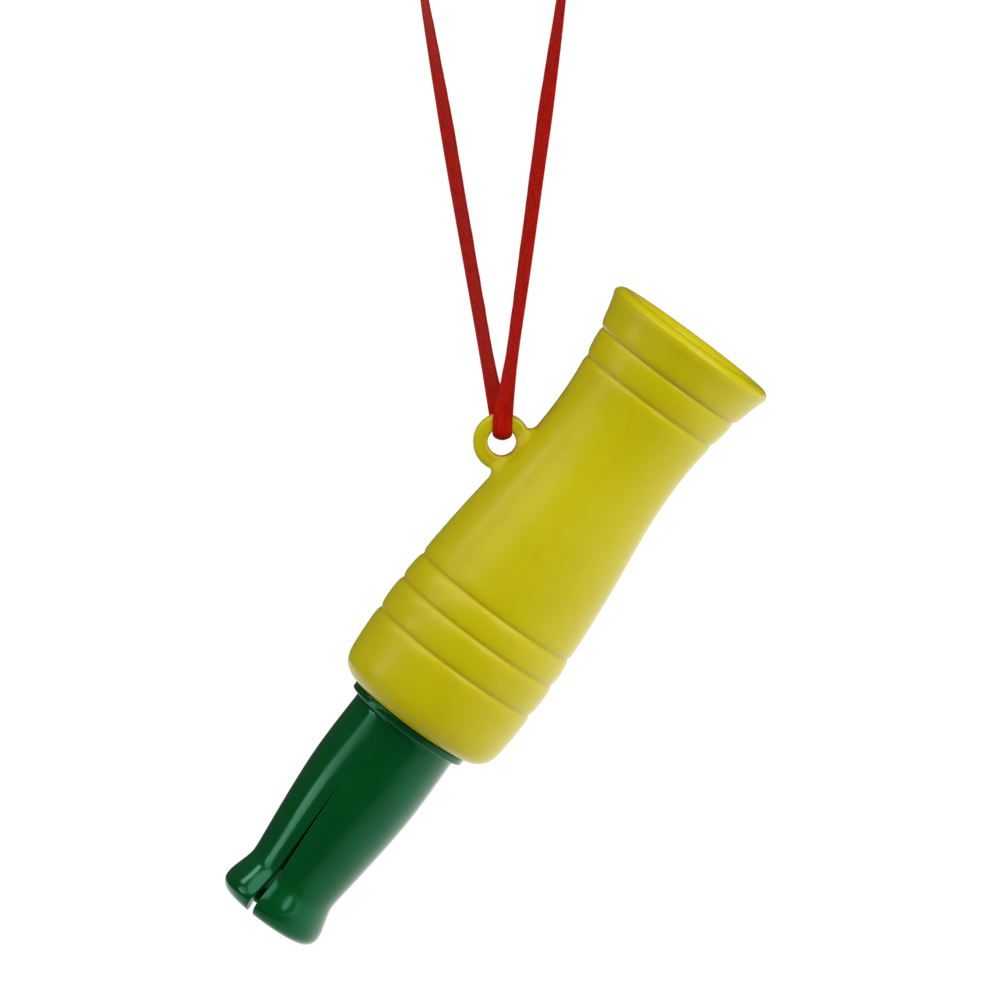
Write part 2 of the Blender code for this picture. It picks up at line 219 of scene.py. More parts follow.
# Floor, in metres: dim round one point, and bright from BRIGHT_RADIUS out
FLOOR_HEIGHT = -0.30
DIM_FLOOR = (-0.2, -0.9, FLOOR_HEIGHT)
DIM_RADIUS = 0.68
BRIGHT_RADIUS = 1.02
FLOOR_REACH = 3.2
FLOOR_GLOW = 1.02


def whistle_matrix():
    """From the whistle's own millimetres to the row frame."""
    along = Vector(JOINTS["insert_twist"]["axis"])
    across = Vector(JOINTS["reed_flex"]["axis"])
    start = Vector(JOINTS["insert_twist"]["pos_m"]) - along * SEAL_STATION * MM
    turn = Matrix((across, (0.0, 1.0, 0.0), along)).transposed()
    return Matrix.Translation(start) @ (turn * MM).to_4x4()


WHISTLE = whistle_matrix()
WHISTLE_AXIS = WHISTLE.to_3x3() @ Vector((0.0, 0.0, 1.0 / MM))
ROW = Matrix.Diagonal((MM, MM, MM, 1.0))


# ---- Curves and meshes ----


def through(points, per_span=12):
    """Points on a smooth curve through the given ones."""
    points = [np.array(p, float) for p in points]
    ends = [points[0] * 2 - points[1], *points, points[-1] * 2 - points[-2]]
    found = []
    for a, b, c, d in zip(ends, ends[1:], ends[2:], ends[3:]):
        for k in range(per_span):
            t = k / per_span
            squared = (2 * a - 5 * b + 4 * c - d) * t**2
            cubed = (3 * b - a - 3 * c + d) * t**3
            found.append(0.5 * (2 * b + (c - a) * t + squared + cubed))
    return np.array([*found, points[-1]])


def lengths_along(line):
    return np.concatenate([[0.0], np.cumsum(np.linalg.norm(np.diff(line, axis=0), axis=1))])


def spaced(line, step):
    """The line again, with points about step apart."""
    line = np.array(line, float)
    along = lengths_along(line)
    at = np.linspace(0.0, along[-1], max(2, math.ceil(along[-1] / step) + 1))
    return np.stack([np.interp(at, along, line[:, k]) for k in range(line.shape[1])], axis=1)


def arc(centre, bend, start, end, count):
    """Points on a round corner, from angle start to end in degrees; 0 points outwards, 90 up the axis."""
    angles = np.radians(np.linspace(start, end, count + 1))
    return [(centre[0] + bend * math.sin(a), centre[1] + bend * math.cos(a)) for a in angles]


def rounded(corners, turns=4):
    """An outline through (station, radius, bend) corners, each rounded over its bend on both sides."""
    found = [corners[0][:2]]
    for before, here, after in zip(corners, corners[1:], corners[2:]):
        a, p, b = (np.array(c[:2], float) for c in (before, here, after))
        start = p + (a - p) * min(0.49, here[2] / np.linalg.norm(a - p))
        end = p + (b - p) * min(0.49, here[2] / np.linalg.norm(b - p))
        for t in np.linspace(0.0, 1.0, turns + 1):
            found.append(tuple((1 - t) ** 2 * start + 2 * t * (1 - t) * p + t**2 * end))
    return [*found, corners[-1][:2]]


def grid_faces(rows, columns, closed_rows=True, closed_columns=True):
    return [
        (
            i * columns + j,
            (i + 1) % rows * columns + j,
            (i + 1) % rows * columns + (j + 1) % columns,
            i * columns + (j + 1) % columns,
        )
        for i in range(rows if closed_rows else rows - 1)
        for j in range(columns if closed_columns else columns - 1)
    ]


def turned_points(outline, columns):
    """(station, radius) pairs turned about the axis, one ring after another."""
    outline = np.array(outline, float)
    angles = np.arange(columns) * 2 * math.pi / columns
    x = outline[:, 1:] * np.cos(angles)
    y = outline[:, 1:] * np.sin(angles)
    z = np.repeat(outline[:, :1], columns, axis=1)
    return np.stack([x, y, z], axis=2).reshape(-1, 3)


def add_object(name, mesh, material):
    obj = bpy.data.objects.new(name, mesh)
    bpy.context.scene.collection.objects.link(obj)
    mesh.materials.clear()
    mesh.materials.append(material)
    mesh.shade_smooth()
    return obj


def mesh_from(name, points, faces, place):
    """A closed mesh, welded, with its faces pointing out, placed by the matrix."""
    mesh = bpy.data.meshes.new(name)
    mesh.from_pydata([tuple(p) for p in points], [], faces)
    work = bmesh.new()
    work.from_mesh(mesh)
    bmesh.ops.remove_doubles(work, verts=work.verts, dist=0.0005)
    bmesh.ops.dissolve_degenerate(work, edges=work.edges, dist=0.0002)
    bmesh.ops.recalc_face_normals(work, faces=work.faces)
    work.to_mesh(mesh)
    work.free()
    mesh.transform(place)
    return mesh


def facing_out(mesh):
    work = bmesh.new()
    work.from_mesh(mesh)
    bmesh.ops.recalc_face_normals(work, faces=work.faces)
    work.to_mesh(mesh)
    work.free()


def point_values(mesh, name, values):
    """A number at each vertex, for the material to read."""
    mesh.attributes.new(name, "FLOAT", "POINT").data.foreach_set("value", np.array(values, np.float32))


def points_of(mesh):
    points = np.empty(len(mesh.vertices) * 3, np.float32)
    mesh.vertices.foreach_get("co", points)
    return points.reshape(-1, 3).astype(float)


def weave_map(mesh, threads):
    """Each vertex's place in the weave, (along, across) in millimetres, for the material to read."""
    corner = np.empty(len(mesh.loops), np.int32)
    mesh.loops.foreach_get("vertex_index", corner)
    mesh.uv_layers.new(name="weave").data.foreach_set("uv", np.array(threads, np.float32)[corner].ravel())


def apply_modifiers(obj):
    bpy.context.view_layer.update()
    mesh = bpy.data.meshes.new_from_object(obj.evaluated_get(bpy.context.evaluated_depsgraph_get()))
    old = obj.data
    obj.modifiers.clear()
    obj.data = mesh
    bpy.data.meshes.remove(old)


def boolean(obj, cutter, operation):
    modifier = obj.modifiers.new(operation, "BOOLEAN")
    modifier.operation = operation
    modifier.solver = "EXACT"
    modifier.object = cutter
    apply_modifiers(obj)
    bpy.data.objects.remove(cutter, do_unlink=True)


def round_edges(obj, width):
    """Rounds the object's edges; width is in metres."""
    bevel = obj.modifiers.new("Edges", "BEVEL")
    bevel.width = width
    bevel.segments = 3
    bevel.limit_method = "ANGLE"
    bevel.angle_limit = math.radians(30)
    apply_modifiers(obj)


def prism(name, outline, low, high, place, turn=None):
    """A flat outline of (x, y) pairs, raised from low to high along z, turned, then placed."""
    points = [Vector((x, y, z)) for z in (low, high) for x, y in outline]
    if turn:
        points = [turn @ p for p in points]
    count = len(outline)
    faces = [(i, (i + 1) % count, count + (i + 1) % count, count + i) for i in range(count)]
    faces += [tuple(range(count))[::-1], tuple(range(count, 2 * count))]
    mesh = mesh_from(name, points, faces, place)
    obj = bpy.data.objects.new(name, mesh)
    bpy.context.scene.collection.objects.link(obj)
    return obj


# ---- Materials ----


class Shader:
    """A material's nodes: each call adds one, with its settings and its inputs by name or place."""

    def __init__(self, name):
        self.material = bpy.data.materials.new(name)
        self.material.use_nodes = True
        self.tree = self.material.node_tree
        self.surface = self.tree.nodes["Principled BSDF"]
        self.place = self.add("TexCoord").outputs["Object"]

    def add(self, kind, inputs=None, **settings):
        made = self.tree.nodes.new("ShaderNode" + kind)
        for key, value in settings.items():
            setattr(made, key, value)
        for key, value in (inputs or {}).items():
            self.feed(made.inputs[key], value)
        return made

    def feed(self, socket, value):
        if isinstance(value, bpy.types.NodeSocket):
            self.tree.links.new(value, socket)
        else:
            socket.default_value = value

    def set(self, **values):
        for key, value in values.items():
            self.feed(self.surface.inputs[key.replace("_", " ")], value)

    def noise(self, scale, detail=3.0, rough=0.5, where=None, stretch=None):
        """Noise from 0 to 1, with scale in waves to the metre."""
        where = where or self.place
        if stretch:
            where = self.add("Mapping", {"Vector": where, "Scale": stretch}).outputs["Vector"]
        settings = {"Vector": where, "Scale": scale, "Detail": detail, "Roughness": rough}
        return self.add("TexNoise", settings).outputs["Fac"]

    def math(self, operation, a, b=0.0, c=0.0):
        return self.add("Math", {0: a, 1: b, 2: c}, operation=operation).outputs[0]

    def ramp(self, value, low, high, to_low=0.0, to_high=1.0):
        inputs = {"Value": value, "From Min": low, "From Max": high, "To Min": to_low, "To Max": to_high}
        return self.add("MapRange", inputs).outputs["Result"]

    def mix(self, factor, a, b):
        made = self.add("Mix", data_type="RGBA")
        for socket, value in zip((made.inputs[0], made.inputs[6], made.inputs[7]), (factor, a, b)):
            self.feed(socket, (*value, 1.0) if isinstance(value, tuple) else value)
        return made.outputs[2]

    def bump(self, height, depth, strength=1.0, normal=None):
        """Bumps that deep, in metres, from a height of 0 to 1."""
        inputs = {"Height": height, "Distance": depth, "Strength": strength}
        if normal:
            inputs["Normal"] = normal
        return self.add("Bump", inputs).outputs["Normal"]

    def waves(self, distance, spacing, push):
        """Even waves from 0 to 1 along a distance, pushed about by another value."""
        phase = self.math("MULTIPLY_ADD", distance, 2 * math.pi / spacing, push)
        return self.ramp(self.math("SINE", phase), -1.0, 1.0)

    def value(self, name):
        return self.add("Attribute", attribute_name=name).outputs["Fac"]


def yellow_plastic():
    look = Shader("yellow_plastic")
    broad = look.noise(85.0, detail=2.0)
    fine = look.noise(620.0, detail=4.0, rough=0.62)
    mottle = look.math("ADD", look.ramp(broad, 0.3, 0.7, 0.0, 0.6), look.ramp(fine, 0.3, 0.7, 0.0, 0.4))
    colour = look.mix(mottle, (0.555, 0.475, 0.0015), (0.605, 0.525, 0.003))
    # Painted shade: orange-brown in the grooves and round the eye's hole, as deep as the recess value
    colour = look.mix(look.value("recess"), colour, (0.53, 0.36, 0.001))
    skin = look.noise(5200.0, detail=2.0)
    ripple = look.noise(260.0, detail=1.0)
    normal = look.bump(ripple, 0.00012, 0.35)
    look.set(
        Base_Color=colour,
        Roughness=look.ramp(fine, 0.25, 0.75, 0.27, 0.35),
        Normal=look.bump(skin, 0.000007, 0.5, normal),
        Specular_IOR_Level=0.34,
        Specular_Tint=(1.0, 0.95, 0.7, 1.0),
        Subsurface_Weight=0.12,
        Subsurface_Radius=(1.0, 0.55, 0.08),
        Subsurface_Scale=0.0016,
    )
    return look.material


def green_plastic():
    look = Shader("green_plastic")
    cloud = look.noise(120.0, detail=4.0, rough=0.6)
    speck = look.noise(1400.0, detail=3.0)
    colour = look.mix(look.ramp(cloud, 0.3, 0.7), (0.0008, 0.063, 0.0105), (0.0012, 0.078, 0.0140))
    smear = look.noise(150.0, detail=5.0, rough=0.65)
    normal = look.bump(look.noise(190.0, detail=1.0), 0.00006, 0.35)
    look.set(
        Base_Color=colour,
        Roughness=look.ramp(smear, 0.3, 0.75, 0.10, 0.18),
        Normal=look.bump(speck, 0.000012, 0.6, normal),
        IOR=1.6,
        Specular_Tint=(0.25, 1.0, 0.65, 1.0),
    )
    return look.material


def board_plastic():
    look = Shader("board_plastic")
    grain = look.noise(900.0, detail=4.0)
    look.set(
        Base_Color=look.mix(grain, (0.028, 0.029, 0.032), (0.05, 0.05, 0.055)),
        Roughness=look.ramp(grain, 0.3, 0.7, 0.36, 0.5),
        Normal=look.bump(look.noise(4200.0), 0.00002, 0.7),
    )
    return look.material


def reed_film():
    look = Shader("reed_film")
    haze = look.noise(240.0, detail=4.0)
    lines = look.noise(2400.0, detail=2.0, stretch=(1.0, 1.0, 0.04))
    look.set(
        Base_Color=look.mix(haze, (0.70, 0.71, 0.69), (0.80, 0.81, 0.78)),
        Roughness=look.ramp(haze, 0.3, 0.7, 0.24, 0.36),
        Normal=look.bump(lines, 0.00001, 0.5),
    )
    return look.material


def wedge_cork():
    look = Shader("wedge_cork")
    cells = look.add("TexVoronoi", {"Vector": look.place, "Scale": 1500.0}).outputs["Distance"]
    pits = look.ramp(look.noise(700.0, detail=5.0, rough=0.7), 0.56, 0.68)
    colour = look.mix(look.noise(380.0, detail=4.0), (0.36, 0.20, 0.09), (0.50, 0.30, 0.15))
    colour = look.mix(pits, colour, (0.10, 0.045, 0.02))
    normal = look.bump(cells, 0.00009, 0.5)
    look.set(
        Base_Color=colour,
        Roughness=look.ramp(cells, 0.0, 0.6, 0.8, 0.95),
        Normal=look.bump(look.math("SUBTRACT", 1.0, pits), 0.0002, 0.8, normal),
    )
    return look.material


def seal_rubber():
    look = Shader("seal_rubber")
    dust = look.noise(1100.0, detail=4.0)
    look.set(
        Base_Color=look.mix(look.ramp(dust, 0.4, 0.75), (0.012, 0.012, 0.013), (0.035, 0.034, 0.033)),
        Roughness=look.ramp(dust, 0.3, 0.7, 0.55, 0.75),
        Normal=look.bump(look.noise(5000.0), 0.00001, 0.7),
    )
    return look.material


def red_satin():
    """Woven satin: fine warp threads along the ribbon, and weft ribs across it."""
    look = Shader("red_satin")
    threads = look.add("UVMap", uv_map="weave").outputs["UV"]
    part = look.add("SeparateXYZ", {"Vector": threads})
    along, across = part.outputs[0], part.outputs[1]
    wander = look.noise(0.9, detail=3.0, where=threads)
    ribs = look.waves(along, 0.34, look.math("MULTIPLY", wander, 2.4))
    warp = look.waves(across, 0.19, look.math("MULTIPLY", wander, 3.0))
    weave = look.math("ADD", look.math("MULTIPLY", ribs, 0.45), look.math("MULTIPLY", warp, 0.55))
    mottle = look.noise(1.0, detail=5.0, rough=0.65, where=threads, stretch=(0.55, 1.3, 1.0))
    shade = look.math("ADD", look.ramp(mottle, 0.28, 0.72, 0.0, 0.75), look.math("MULTIPLY", weave, 0.25))
    look.set(
        Base_Color=look.mix(shade, (0.26, 0.003, 0.0012), (0.68, 0.011, 0.0044)),
        Roughness=look.ramp(mottle, 0.3, 0.7, 0.46, 0.60),
        Normal=look.bump(weave, 0.00005, 0.8, look.bump(mottle, 0.0001, 0.5)),
        Sheen_Weight=0.02,
        Sheen_Roughness=0.4,
        Sheen_Tint=(1.0, 0.35, 0.25, 1.0),
        Specular_IOR_Level=0.18,
        Specular_Tint=(1.0, 0.3, 0.2, 1.0),
    )
    return look.material


def pale_floor():
    """White and bright of itself, but dark round the camera, where nothing bright may be mirrored."""
    look = Shader("pale_floor")
    cloud = look.noise(3.0, detail=4.0)
    away = look.add("VectorMath", {0: look.place, 1: DIM_FLOOR}, operation="DISTANCE").outputs["Value"]
    pale = look.mix(cloud, (0.44, 0.44, 0.44), (0.48, 0.48, 0.475))
    look.set(
        Base_Color=look.mix(look.ramp(away, DIM_RADIUS, BRIGHT_RADIUS), (0.03, 0.03, 0.03), pale),
        Roughness=look.ramp(cloud, 0.3, 0.7, 0.75, 0.85),
        Normal=look.bump(look.noise(60.0, detail=4.0), 0.0004, 0.2),
        Emission_Color=(1.0, 1.0, 1.0, 1.0),
        Emission_Strength=look.ramp(away, DIM_RADIUS, BRIGHT_RADIUS, 0.0, FLOOR_GLOW),
    )
    return look.material


# ---- Barrel ----


SIDE_CURVES = (through(BARREL_SIDE), through(FLARE_SIDE))


def barrel_radius(stations):
    """The barrel's outer radius at each station: its side, the step up to the flare, and the grooves."""
    side, flare = SIDE_CURVES
    stations = np.asarray(stations, float)
    low = np.interp(stations, side[:, 0], side[:, 1])
    high = np.interp(stations, flare[:, 0], flare[:, 1])
    step = np.clip((stations - FLARE_START + FLARE_STEP / 2) / FLARE_STEP, 0.0, 1.0)
    radius = low + (high - low) * step
    for groove in GROOVES:
        for depth, width in (GROOVE_CORE, GROOVE_SHOULDER):
            radius = radius - depth * np.exp(-(((stations - groove) / width) ** 2))
    return radius


def groove_depth(stations):
    """From 0 on the side to 1 at a groove's floor."""
    width = GROOVE_CORE[1]
    return sum(np.exp(-(((np.asarray(stations) - groove) / width) ** 2)) for groove in GROOVES)


def side_stations(low, high):
    """Stations a millimetre apart, and much closer at the grooves."""
    wide = [s for s in np.arange(low, high, 1.0) if all(abs(s - g) > GROOVE_REACH for g in GROOVES)]
    across = np.arange(-GROOVE_REACH, GROOVE_REACH + GROOVE_GRAIN / 2, GROOVE_GRAIN)
    close = [groove + x for groove in GROOVES for x in across]
    return np.array(sorted(wide + close))


def barrel_outline():
    """Down the outer side from the mouth, round the end, and up the bore."""
    lip_top = MOUTH_END - LIP_BEND
    stations = side_stations(-19.4, lip_top - 0.4)
    side = np.stack([stations, barrel_radius(stations)], axis=1)[::-1]
    lip = arc((lip_top, MOUTH_RADIUS - LIP_BEND), LIP_BEND, 90, 12, 6)
    corner = arc(CORNER_CENTRE, CORNER_RADIUS, -32, -90, 10)
    seat = [
        (BARREL_END, 12.0, 0), (BARREL_END, SEAT_BORE, 0.6), (-14.0, SEAT_BORE, 0.1),
        (-1.6, SEAT_BORE, 0.3), (0.0, WAIST_BORE, 0.3),
    ]
    waist = [(14.0, WAIST_BORE, 0.1), (28.0, WAIST_BORE, 0.1), (42.5, WAIST_BORE, 3.0), (52.0, 11.4, 3.0)]
    mouth = [
        (60.0, 11.9, 0.1), (MOUTH_END - 2.2, MOUTH_BORE, 1.4), (MOUTH_END, MOUTH_BORE + 1.8, 1.4),
        (MOUTH_END, MOUTH_RADIUS - LIP_BEND, 0),
    ]
    return [*lip, *map(tuple, side), *corner, *rounded(seat + waist + mouth)]


def joined(a, b, bend):
    """Two solids' distances as one, with a fillet of that radius between them."""
    hollow = np.hypot(np.maximum(bend - a, 0.0), np.maximum(bend - b, 0.0))
    return np.maximum(bend, np.minimum(a, b)) - hollow


def cut(solid, hole, bend):
    """One solid's distance with the other taken out, with its edge rounded to that radius."""
    round_off = np.hypot(np.maximum(bend + solid, 0.0), np.maximum(bend - hole, 0.0))
    return np.minimum(-bend, np.maximum(solid, -hole)) + round_off


def eye_distance(points):
    """Distance from the barrel's side with its eye, in millimetres, under 0 inside the plastic."""
    x, y, s = points.T
    side = np.hypot(x, y) - barrel_radius(s)
    out = np.hypot(x + EYE_OFF_AXIS, s - EYE_STATION)
    past = np.stack([out - EYE_OUTER + EYE_EDGE, np.abs(y) - EYE_THICKNESS / 2 + EYE_EDGE])
    lug = np.linalg.norm(np.maximum(past, 0.0), axis=0) + np.minimum(past.max(axis=0), 0.0) - EYE_EDGE
    to_face = np.clip(np.abs(y) / EYE_THICKNESS * 2, 0.0, 1.0)
    fillet = EYE_FILLET + (EYE_FACE_FILLET - EYE_FILLET) * to_face**2
    return cut(joined(side, lug, fillet), out - EYE_HOLE, HOLE_EDGE)


def onto_eye(points):
    """Moves points onto the surface of the barrel's side and eye."""
    step = 0.01
    for _ in range(5):
        here = eye_distance(points)
        ahead = [eye_distance(points + d) for d in np.eye(3) * step]
        behind = [eye_distance(points - d) for d in np.eye(3) * step]
        slope = (np.stack(ahead, axis=1) - np.stack(behind, axis=1)) / (2 * step)
        size = np.maximum((slope**2).sum(axis=1), 0.05)
        points = points - slope * (here / size)[:, None]
    return points


def near_eye(point, more=0.0):
    """True on the outer side, at the eye and a little past its fillet."""
    x, y, s = point
    outside = math.hypot(x, y) > INSIDE_RADIUS
    sideways = abs(y) < EYE_THICKNESS / 2 + EYE_FACE_FILLET + FINE_SIDEWAYS + more
    from_hole = math.hypot(x + EYE_OFF_AXIS, s - EYE_STATION)
    around = from_hole < EYE_OUTER + EYE_FACE_FILLET + FINE_AROUND + more
    return outside and sideways and around and x < 0


def needs_triangles(face):
    """True of a face that cutting its edges has left with too many corners, or that touches the eye."""
    corners = len(face.verts)
    return corners > 4 or (corners == 4 and any(near_eye(v.co, 0.6) for v in face.verts))


def disc(name, radius, half, columns):
    """A plain disc at the eye, along Y, in the whistle's millimetres."""
    ring = [
        (-EYE_OFF_AXIS + radius * math.cos(a), EYE_STATION + radius * math.sin(a))
        for a in np.arange(columns) * 2 * math.pi / columns
    ]
    upright = Matrix(((1, 0, 0), (0, 0, -1), (0, 1, 0)))
    return prism(name, ring, -half, half, Matrix.Identity(4), upright)


def refine(work, size):
    """Cuts the eye's long edges until none is much over that size, and merges what is far under it."""
    for _ in range(7):
        edges = [e for e in work.edges if any(near_eye(v.co) for v in e.verts)]
        long = [e for e in edges if e.calc_length() > 1.5 * size]
        if not long:
            break
        bmesh.ops.subdivide_edges(work, edges=long, cuts=1)
        bmesh.ops.triangulate(work, faces=[f for f in work.faces if needs_triangles(f)])
    near = [v for v in work.verts if near_eye(v.co)]
    bmesh.ops.remove_doubles(work, verts=near, dist=0.4 * size)
    bmesh.ops.dissolve_degenerate(work, edges=work.edges, dist=0.01)
    faces = [f for f in work.faces if len(f.verts) == 3 and all(near_eye(v.co) for v in f.verts)]
    kept = set(faces)
    edges = [e for e in work.edges if e.link_faces and kept.issuperset(e.link_faces)]
    bmesh.ops.beautify_fill(work, faces=faces, edges=edges)


def relax(work, rounds):
    """Evens out the eye's points and keeps them on its surface."""
    near = [v for v in work.verts if near_eye(v.co)]
    points = np.array([v.co for v in work.verts])
    index = np.array([v.index for v in near])
    around = [[e.other_vert(v).index for e in v.link_edges] for v in near]
    for _ in range(rounds):
        middle = np.array([points[ring].mean(axis=0) for ring in around])
        points[index] = onto_eye(points[index] * 0.4 + middle * 0.6)
    for v, point in zip(near, points[index]):
        v.co = point


def paint_recess_shade(mesh):
    """Painted shade: how deep each point of the barrel lies in a groove or round the eye's hole, for the
    colour to darken to orange-brown.
    """
    x, y, s = points_of(mesh).T
    at_hole = np.exp(-(((np.hypot(x + EYE_OFF_AXIS, s - EYE_STATION) - EYE_HOLE) / HOLE_SHADE) ** 2))
    at_hole *= RECESS_SHADE * (x < -INSIDE_RADIUS - 0.5)
    in_groove = groove_depth(s) * RECESS_SHADE * (np.hypot(x, y) > INSIDE_RADIUS + 0.5)
    point_values(mesh, "recess", np.clip(in_groove + at_hole, 0.0, 1.0))


def build_barrel(material):
    outline = barrel_outline()
    points = turned_points(outline, BARREL_COLUMNS)
    mesh = mesh_from("barrel_shell", points, grid_faces(len(outline), BARREL_COLUMNS), Matrix.Identity(4))
    barrel = add_object("barrel_shell", mesh, material)
    lug = disc("eye_lug", EYE_OUTER - EYE_ROUGH, EYE_THICKNESS / 2 - EYE_ROUGH, 48)
    hole = disc("eye_hole", EYE_HOLE + EYE_ROUGH, EYE_THICKNESS, 36)
    boolean(barrel, lug, "UNION")
    boolean(barrel, hole, "DIFFERENCE")
    work = bmesh.new()
    work.from_mesh(barrel.data)
    for _ in range(3):
        refine(work, EYE_GRAIN)
        work.verts.index_update()
        relax(work, 6)
    bmesh.ops.recalc_face_normals(work, faces=work.faces)
    work.to_mesh(barrel.data)
    work.free()
    # Painted shade in the grooves and round the eye's hole, kept as a value on each point
    paint_recess_shade(barrel.data)
    barrel.data.transform(WHISTLE)
    barrel.data.shade_smooth()
    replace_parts(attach(barrel, "barrel"), "barrel")


# ---- Insert ----


def slot_width(station):
    """The slot is a hairline at its start and widest at the tip."""
    share = np.clip((SLOT_START - station) / (SLOT_START - TIP_END), 0.0, 1.0)
    return SLOT_END_WIDTH * share**SLOT_SPREAD


def tube_rows(stations):
    """(station, radius) rows of the exhaust tube's outer side."""
    side = through(TUBE_SIDE)[::-1]
    return [(float(s), float(r)) for s, r in zip(stations, np.interp(stations, side[:, 0], side[:, 1]))]


def plug_rows():
    """The plug with its seal groove, and the flange, from the plug's top down to the tube."""
    groove_floor, half = SEAL_GROOVE
    plug = [
        (PLUG_TOP, PLUG_BORE + 1.0, 0), (PLUG_TOP, PLUG_RADIUS - 0.2, 0.7), (-4.0, PLUG_RADIUS, 0.2),
        (SEAL_STATION + half, PLUG_RADIUS, 0.2), (SEAL_STATION + half, groove_floor, 0.2),
        (SEAL_STATION - half, groove_floor, 0.2), (SEAL_STATION - half, PLUG_RADIUS, 0.2),
        (-16.0, PLUG_RADIUS, 0.2), (FLANGE_TOP, PLUG_RADIUS, 0.15),
    ]
    flange = [
        (FLANGE_TOP, FLANGE_RADIUS, 0.35), (FLANGE_BOTTOM, FLANGE_RADIUS, 0.35), (FLANGE_BOTTOM, 11.3, 0.3),
        (-24.3, 11.03, 0.4), (-25.2, 11.04, 0),
    ]
    return rounded(plug + flange)


def tip_rows(last_inner):
    """The tip's round end outside, and as many rows inside it, from the bore's last row down."""
    outer = arc((TIP_END + TIP_ROUND, TIP_RADIUS - TIP_ROUND), TIP_ROUND, -2, -90, 9)
    inner = spaced(rounded([last_inner, (TIP_END + 0.9, 7.6, 0.9), (TIP_END, 7.8, 0.3), outer[-1]]), 0.2)
    at = np.linspace(0, len(inner) - 1, len(outer) + 1)[1:]
    inner = [tuple(np.interp(k, range(len(inner)), column) for column in inner.T) for k in at]
    return outer, inner


def bore_rows(top_inner):
    """The bore from the slot's start up past the board's stop to the plug's top."""
    return rounded(
        [
            (SLOT_START + 0.9, top_inner, 0), (-28.0, 9.35, 1.0), (-25.0, 8.4, 1.0),
            (-23.0, STOP_BORE, 0.5), (BOARD_STOP, STOP_BORE, 0.3), (BOARD_STOP, PLUG_BORE, 0.3),
            (-12.0, PLUG_BORE, 0.2), (PLUG_TOP, PLUG_BORE, 0.4), (PLUG_TOP, PLUG_BORE + 0.9, 0),
        ]
    )


def insert_rows():
    """Rows down the outside to the slot, outside and inside along the slot, and up the bore above it."""
    above = plug_rows() + tube_rows(np.arange(-26.2, SLOT_START, -1.0))
    stations = [*np.arange(SLOT_START, TUBE_SIDE_END + 0.2, -SLOT_ROW), TUBE_SIDE_END]
    outer = tube_rows(stations)
    inner = [(s, r - TUBE_WALL) for s, r in outer]
    tip_outer, tip_inner = tip_rows(inner[-1])
    return above, outer + tip_outer, inner + tip_inner, bore_rows(inner[0][1])


def slotted_row(row, edge, columns):
    """A ring of points at (station, radius), open by the slot's width; edge widens the opening."""
    station, radius = row
    aside = slot_width(station) / 2 + edge if station <= SLOT_START else 0.0
    start = math.asin(min(0.9, aside / radius))
    angles = np.linspace(start, 2 * math.pi - start, columns + 1)
    return [(radius * math.sin(a), -radius * math.cos(a), station) for a in angles]


def slot_side(outer, inner, side, edge, steps=4):
    """Points across the slot's wall, from the outer skin to the inner one, with rounded edges."""
    o, i = np.array(outer), np.array(inner)
    length = np.linalg.norm(i - o)
    half = slot_width(outer[0]) / 2
    quarter = np.radians(np.linspace(0, 90, steps + 1))
    down = [(half + edge * (1 - math.sin(a)), edge * (1 - math.cos(a))) for a in quarter]
    line = down + [(half, length / 2)] + [(a, length - d) for a, d in down[::-1]]
    found = []
    for aside, depth in line:
        station, radius = o + (i - o) * (depth / max(length, SMALL))
        found.append((side * aside, -math.sqrt(max(radius**2 - aside**2, 0.0)), station))
    return found


def build_insert(material):
    above, outer, inner, bore = insert_rows()
    rows = [*above, *outer, *inner[::-1][1:], *bore[1:]]
    limits = [(0.3 * math.dist(o, i), 0.5 * float(slot_width(o[0]))) for o, i in zip(outer, inner)]
    edges = [min(SLOT_EDGE, *pair) for pair in limits]
    widened = [0.0] * len(above) + edges + edges[::-1][1:] + [0.0] * (len(bore) - 1)
    points = [p for row, edge in zip(rows, widened) for p in slotted_row(row, edge, INSERT_COLUMNS)]
    faces = grid_faces(len(rows), INSERT_COLUMNS + 1, closed_columns=False)
    for side in (1, -1):
        walls = [slot_side(o, i, side, e) for o, i, e in zip(outer, inner, edges)]
        start = len(points)
        points += [p for wall in walls for p in wall]
        faces += [
            tuple(start + n for n in face)
            for face in grid_faces(len(walls), len(walls[0]), closed_rows=False, closed_columns=False)
        ]
    turn = Matrix.Rotation(-SLOT_TURN, 4, "Z")
    mesh = mesh_from("insert_shell", points, faces, WHISTLE @ turn)
    insert = add_object("insert_shell", mesh, material)
    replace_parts(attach(insert, "insert"), "insert")


def build_seal(material):
    ring = arc((SEAL_STATION, SEAL_RADIUS), SEAL_HALF, 0, 360 - 360 / SEAL_SIDES, SEAL_SIDES - 1)[::-1]
    points = turned_points(ring, SEAL_COLUMNS)
    mesh = mesh_from("seal_ring_rubber", points, grid_faces(SEAL_SIDES, SEAL_COLUMNS), WHISTLE)
    seal = add_object("seal_ring_rubber", mesh, material)
    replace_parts(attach(seal, "seal"), "seal_ring")


def half_disc(radius, low, high, count=40):
    """The outline of the part of a disc between two heights in y."""
    a, b = math.asin(max(-1.0, low / radius)), math.asin(min(1.0, high / radius))
    right = [(radius * math.cos(t), radius * math.sin(t)) for t in np.linspace(a, b, count)]
    return right + [(-x, y) for x, y in right[::-1]]


def cut_out(obj, name, outline, half):
    """Cuts a (depth below the board's face, station) outline out of the object, half to each side."""
    side_on = Matrix(((0, 0, 1), (1, 0, 0), (0, 1, 0)))
    boolean(obj, prism(name, outline, -half, half, WHISTLE, side_on), "DIFFERENCE")


